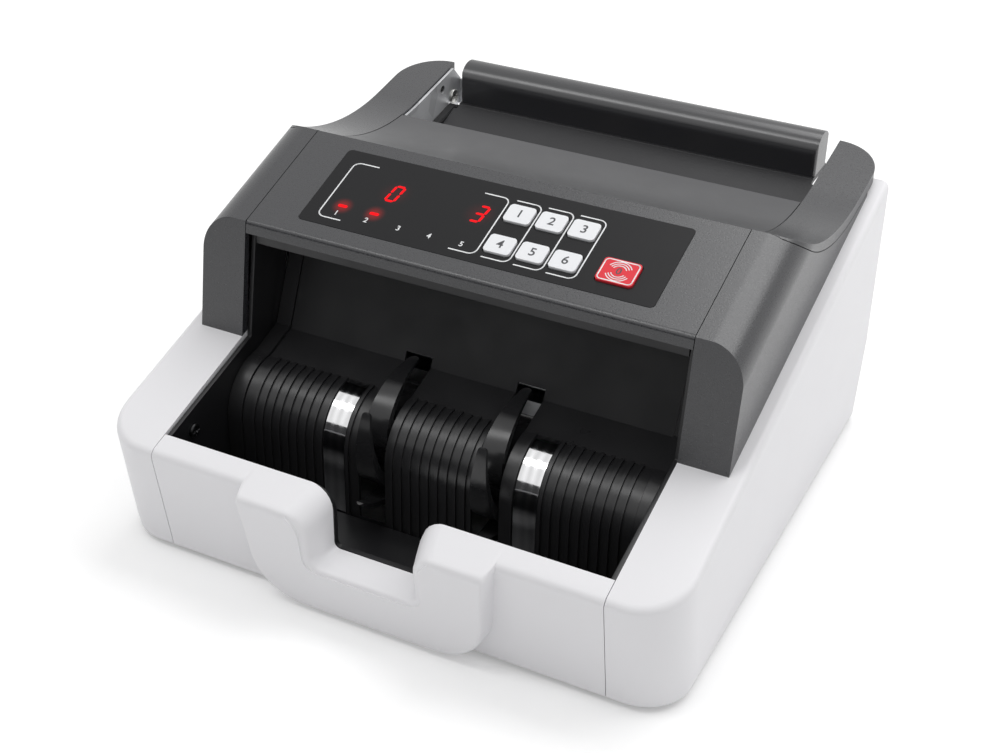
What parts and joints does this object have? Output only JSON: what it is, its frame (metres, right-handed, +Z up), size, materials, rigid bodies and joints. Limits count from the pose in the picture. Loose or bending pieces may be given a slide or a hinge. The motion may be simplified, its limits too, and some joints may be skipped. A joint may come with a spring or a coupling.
{
  "type": "banknote counter",
  "caption": "Counter-top banknote counter: wedge casing with open stacking tray and bladed stacker wheels in front, sloped key panel, concave feed ramp and rear hopper.",
  "frame": {"origin": "on the resting plane, under the middle of the bounding box", "axes": "+X to the operator's right, +Y from the operator to the hopper at the back, +Z up"},
  "size_m": [0.243, 0.263, 0.1372],
  "materials": {
    "white_plastic": "white moulded plastic, fine satin grain",
    "grey_plastic": "charcoal moulded plastic, fine texture",
    "ramp_plastic": "charcoal moulded plastic, smoother satin",
    "floor_plastic": "dark grey satin",
    "bar_plastic": "dark grey, semi-gloss",
    "film": "black printed film, satin",
    "key_plastic": "off-white silicone, soft matte",
    "red_key_plastic": "red silicone, soft matte",
    "led": "red light-emitting digits",
    "black_plastic": "black, semi-gloss",
    "sheet_steel": "galvanised",
    "polished_steel": "polished",
    "bronze": "sintered",
    "rubber": "matte",
    "pulley_plastic": "matte",
    "motor_steel": "plain zinc plated",
    "board": "green board",
    "screw_steel": "zinc plated"
  },
  "bodies": {
    "casing": {"side_casing_left": "white_plastic", "side_casing_right": "white_plastic", "front_panel": "white_plastic", "rear_panel": "white_plastic", "shoulder_left": "grey_plastic", "shoulder_right": "grey_plastic", "control_cover": "grey_plastic", "hopper_ramp": "ramp_plastic", "hopper_arm_left": "ramp_plastic", "hopper_arm_right": "ramp_plastic", "hopper_floor": "floor_plastic", "hopper_back_bar": "bar_plastic", "display_overlay": "film", "digit_display": "led", "tray_floor": "black_plastic", "liner_left": "black_plastic", "liner_right": "black_plastic", "mouth_roof": "black_plastic", "stacker_cover": "black_plastic", "stacker_end_left": "black_plastic", "stacker_end_right": "black_plastic", "count_sensor": "black_plastic", "switch_body": "black_plastic", "mains_inlet": "black_plastic", "base_plate": "sheet_steel", "chassis_plate_left": "sheet_steel", "chassis_plate_right": "sheet_steel", "tie_rods": "sheet_steel", "hopper_bracket": "sheet_steel", "slide_strips": "polished_steel", "shaft_bearings": "bronze", "rubber_feet": "rubber", "retard_pads": "rubber", "drive_belts": "rubber", "main_motor": "motor_steel", "control_board": "board", "power_board": "board", "casing_screws": "screw_steel"},
    "stacker": {"stacker_shaft": "polished_steel", "stacker_wheel_left": "black_plastic", "stacker_wheel_right": "black_plastic", "stacker_pulley": "pulley_plastic"},
    "feed": {"feed_shaft": "polished_steel", "feed_rollers": "rubber", "feed_pulley": "pulley_plastic"},
    "transport": {"transport_shaft": "polished_steel", "transport_rollers": "rubber", "transport_pulley": "pulley_plastic", "encoder_disc": "black_plastic"},
    "pinch": {"pinch_shaft": "polished_steel", "pinch_rollers": "rubber"},
    "motor_rotor": {"motor_pulley": "pulley_plastic"},
    "rocker": {"power_rocker": "black_plastic"},
    "key_1": {"key_1": "key_plastic"},
    "key_2": {"key_2": "key_plastic"},
    "key_3": {"key_3": "key_plastic"},
    "key_4": {"key_4": "key_plastic"},
    "key_5": {"key_5": "key_plastic"},
    "key_6": {"key_6": "key_plastic"},
    "key_red": {"key_red": "red_key_plastic"}
  },
  "joints": [
    {"name": "motor_spin", "type": "hinge", "parent": "casing", "child": "motor_rotor", "pos_m": [-0.1, 0.05203, 0.03], "axis": [1, 0, 0], "continuous": true},
    {"name": "transport_spin", "type": "hinge", "parent": "casing", "child": "transport", "pos_m": [0, 0.02502, 0.07], "axis": [1, 0, 0], "continuous": true},
    {"name": "feed_spin", "type": "hinge", "parent": "casing", "child": "feed", "pos_m": [0, 0.08392, 0.0833], "axis": [1, 0, 0], "continuous": true},
    {"name": "stacker_spin", "type": "hinge", "parent": "casing", "child": "stacker", "pos_m": [0, -0.05683, 0.041], "axis": [1, 0, 0], "continuous": true},
    {"name": "pinch_spin", "type": "hinge", "parent": "casing", "child": "pinch", "pos_m": [0, 0.03289, 0.09936], "axis": [1, 0, 0], "continuous": true},
    {"name": "power_switch", "type": "hinge", "parent": "casing", "child": "rocker", "pos_m": [0.024, 0.10502, 0.034], "axis": [1, 0, 0], "range_deg": [0, 16]},
    {"name": "press_1", "type": "slide", "parent": "casing", "child": "key_1", "axis": [0, 0.309, -0.9511], "range_m": [0, 0.0005], "stiffness_N_per_m": 600},
    {"name": "press_2", "type": "slide", "parent": "casing", "child": "key_2", "axis": [0, 0.309, -0.9511], "range_m": [0, 0.0005], "stiffness_N_per_m": 600},
    {"name": "press_3", "type": "slide", "parent": "casing", "child": "key_3", "axis": [0, 0.309, -0.9511], "range_m": [0, 0.0005], "stiffness_N_per_m": 600},
    {"name": "press_4", "type": "slide", "parent": "casing", "child": "key_4", "axis": [0, 0.309, -0.9511], "range_m": [0, 0.0005], "stiffness_N_per_m": 600},
    {"name": "press_5", "type": "slide", "parent": "casing", "child": "key_5", "axis": [0, 0.309, -0.9511], "range_m": [0, 0.0005], "stiffness_N_per_m": 600},
    {"name": "press_6", "type": "slide", "parent": "casing", "child": "key_6", "axis": [0, 0.309, -0.9511], "range_m": [0, 0.0005], "stiffness_N_per_m": 600},
    {"name": "press_red", "type": "slide", "parent": "casing", "child": "key_red", "axis": [0, 0.309, -0.9511], "range_m": [0, 0.0005], "stiffness_N_per_m": 600}
  ],
  "couplings": [
    {"joint": "motor_spin", "follows": "transport_spin", "ratio": 1.75},
    {"joint": "feed_spin", "follows": "transport_spin", "ratio": 1.4},
    {"joint": "stacker_spin", "follows": "transport_spin", "ratio": 1.4},
    {"joint": "pinch_spin", "follows": "transport_spin", "ratio": -2}
  ]
}
